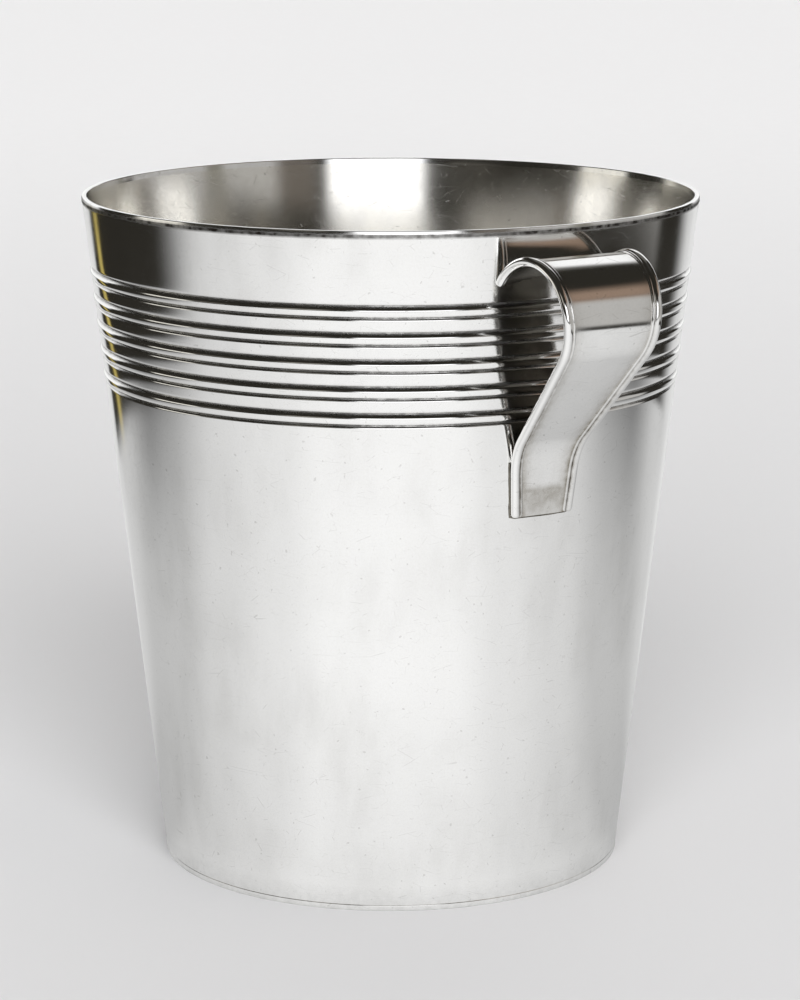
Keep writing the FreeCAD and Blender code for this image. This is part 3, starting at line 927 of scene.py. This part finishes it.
def make_glowing_table_reflection():
    """A glowing sheet that only the silver sees, with the white table's reflection painted on it: bright
    in front, greyer beside, ending at the sides.
    """
    material = bpy.data.materials.new("glowing_table_reflection")
    material.use_nodes = True
    tree = material.node_tree
    tree.nodes.remove(tree.nodes["Principled BSDF"])
    place = node(tree, "ShaderNodeTexCoord").outputs["Object"]
    axes = node(tree, "ShaderNodeSeparateXYZ")
    tree.links.new(place, axes.inputs["Vector"])
    length = node(tree, "ShaderNodeVectorMath", operation="LENGTH")
    tree.links.new(place, length.inputs[0])
    distance = length.outputs["Value"]

    direction = azimuth(tree, axes.outputs["X"], axes.outputs["Y"])
    around = calculate(tree, "ABSOLUTE", direction)
    bright = brightness_curve(tree, calculate(tree, "DIVIDE", around, 180.0), TABLE_BY_DIRECTION)
    contact = ramp(tree, distance, *CONTACT_DISTANCE, bottom=CONTACT_BRIGHTNESS, top=1.0)
    dim_side = calculate(tree, "MULTIPLY", ramp(tree, around, *DIM_SIDE_START),
                         ramp(tree, around, *DIM_SIDE_END, bottom=1.0, top=0.0))
    dim_far = ramp(tree, distance, *DIM_DISTANCE, bottom=0.0, top=DIM_AMOUNT)
    kept = calculate(tree, "SUBTRACT", 1.0, calculate(tree, "MULTIPLY", dim_side, dim_far))
    right = calculate(tree, "MULTIPLY", ramp(tree, direction, *RIGHT_END_START),
                      ramp(tree, direction, *RIGHT_END_STOP, bottom=1.0, top=0.0))
    left = calculate(tree, "MULTIPLY", ramp(tree, direction, *LEFT_END_START, bottom=1.0, top=0.0),
                     ramp(tree, direction, *LEFT_END_STOP))
    ended = calculate(tree, "ADD",
                      calculate(tree, "MULTIPLY", right, ramp(tree, distance, *RIGHT_END_DISTANCE)),
                      calculate(tree, "MULTIPLY", left, ramp(tree, distance, *LEFT_END_DISTANCE)))
    level = calculate(tree, "MULTIPLY", calculate(tree, "MULTIPLY", bright, contact), kept)
    # The sheet glows with this painted brightness: a painted reflection of the table, painted shadow of
    # the bucket included.
    glow = node(tree, "ShaderNodeEmission")
    tree.links.new(level, glow.inputs["Strength"])
    gone = node(tree, "ShaderNodeBsdfTransparent")
    surface = node(tree, "ShaderNodeMixShader")
    for socket, source in zip(surface.inputs, (ended, glow.outputs["Emission"], gone.outputs["BSDF"])):
        tree.links.new(source, socket)
    tree.links.new(surface.outputs["Shader"], tree.nodes["Material Output"].inputs["Surface"])

    table = stage_sheet("glowing_table_reflection", reach=TABLE_REACH, near=-TABLE_REACH, far=TABLE_REACH,
                        height=-0.1 * MM, material=material)
    table.visible_camera = False
    table.visible_diffuse = False
    table.visible_shadow = False


# Soft patches of the room that the silver reflects: the middle azimuth from the front, to the right,
# its half width, the lowest and highest elevation, the edge softness, in degrees, and the colour.
ROOM_PATCHES = (
    ("ceiling", 0, 190, 76, 100, 5, (0.040, 0.039, 0.036)),
    ("back_ceiling", -166, 44, 46, 78, 6, (0.120, 0.116, 0.106)),
    ("right_wall", 78, 42, -13, 30, 3, (0.46, 0.45, 0.435)),
    ("right_glow", 78, 32, 28, 44, 6, (0.28, 0.20, 0.15)),
    ("right_shelf", 38, 8, -10, 20, 4, (0.15, 0.132, 0.115)),
    ("right_gap", 74, 4, -6, 9, 2, (0.22, 0.21, 0.175)),
    ("left_wall", -34, 10, 11, 26, 4, (0.42, 0.395, 0.35)),
    ("left_corner", -73, 8, 11, 22, 4, (0.20, 0.185, 0.16)),
    ("left_lamp", -93, 12, -8, 9, 2.5, (0.90, 0.87, 0.79)),
    ("back_wall", -173, 37, -5, 24, 2.5, (0.97, 0.97, 0.97)),
    ("yellow_edge", -145, 2.0, -16, -4, 1.0, (0.50, 0.40, 0.12)),
    ("back_opening", 172, 22, 16, 46, 4, (0.97, 0.97, 0.97)),
    ("window", 6, 19, -4, 21, 2.5, (1.7, 1.7, 1.72)),
)
DARK_ROOM = (0.024, 0.022, 0.018)
PALE_BACKGROUND = (0.86, 0.86, 0.87)


def make_room():
    """A dark room with soft bright patches, which only the silver sees; the view itself is pale."""
    world = bpy.data.worlds.new("room")
    bpy.context.scene.world = world
    world.use_nodes = True
    tree = world.node_tree
    background = tree.nodes["Background"]
    place = node(tree, "ShaderNodeTexCoord")
    facing = node(tree, "ShaderNodeVectorRotate", rotation_type="Z_AXIS")
    facing.inputs["Angle"].default_value = -FRONT_TURN
    tree.links.new(place.outputs["Generated"], facing.inputs["Vector"])
    axes = node(tree, "ShaderNodeSeparateXYZ")
    tree.links.new(facing.outputs["Vector"], axes.inputs["Vector"])
    rise = calculate(tree, "ARCSINE", axes.outputs["Z"])
    elevation = calculate(tree, "MULTIPLY", rise, DEGREES_PER_RADIAN)
    around = azimuth(tree, axes.outputs["X"], axes.outputs["Y"])

    colour = DARK_ROOM
    for name, middle, reach, low, high, soft, patch_colour in ROOM_PATCHES:
        turned = calculate(tree, "SUBTRACT", around, middle - 180.0)
        wrapped = calculate(tree, "SUBTRACT", calculate(tree, "FLOORED_MODULO", turned, 360.0), 180.0)
        away = calculate(tree, "ABSOLUTE", wrapped)
        across = ramp(tree, away, reach - soft, reach + soft, bottom=1.0, top=0.0)
        above = ramp(tree, elevation, low - soft, low + soft)
        below = ramp(tree, elevation, high - soft, high + soft, bottom=1.0, top=0.0)
        cover = calculate(tree, "MULTIPLY", across, calculate(tree, "MULTIPLY", above, below))
        cover.node.label = name
        colour = mix_colour(tree, cover, colour, patch_colour)
    path = node(tree, "ShaderNodeLightPath")
    colour = mix_colour(tree, path.outputs["Is Camera Ray"], colour, PALE_BACKGROUND)
    tree.links.new(colour, background.inputs["Color"])


def soft_sun(name, energy, spread, tilt, turn):
    """A distant light as wide as a big soft box; tilt is from straight overhead towards the front."""
    light = bpy.data.lights.new(name, "SUN")
    light.energy = energy
    light.angle = math.radians(spread)
    lamp = bpy.data.objects.new(name, light)
    lamp.rotation_euler = (math.radians(tilt), 0, FRONT_TURN + math.radians(turn))
    lamp.visible_glossy = False
    bpy.context.scene.collection.objects.link(lamp)


def make_lights():
    """Soft light on the paper from overhead and from the window side; the silver doesn't mirror it."""
    soft_sun("soft_overhead", energy=0.85, spread=130, tilt=15, turn=0)
    soft_sun("soft_front", energy=4.4, spread=52, tilt=68, turn=4)


# The camera's place as seen from the front, its downward tilt in degrees, and its lens in
# millimetres.
CAMERA_PLACE = Vector((0.003045, -1.0964, 0.3507))
CAMERA_TILT = 12.04
CAMERA_LENS = 121.94
CAMERA_SENSOR = 36.0
FARTHEST_SEEN = 60.0


def make_camera():
    """The view from the front, looking slightly down on the bucket."""
    camera_data = bpy.data.cameras.new("front_camera")
    camera_data.sensor_width = CAMERA_SENSOR
    camera_data.lens = CAMERA_LENS
    camera_data.clip_end = FARTHEST_SEEN
    camera = bpy.data.objects.new("front_camera", camera_data)
    camera.location = TO_FRONT @ CAMERA_PLACE
    camera.rotation_euler = (math.radians(90 - CAMERA_TILT), 0, FRONT_TURN)
    bpy.context.scene.collection.objects.link(camera)
    bpy.context.scene.camera = camera


make_camera()
make_room()
make_lights()
make_floor()
make_glowing_table_reflection()
make_body_wall()
make_rim_wire()
make_foot_ring()
make_base_plate()
make_handle("right", 0, -1)
make_handle("left", 180, 1)
bpy.context.scene.view_settings.view_transform = "Standard"
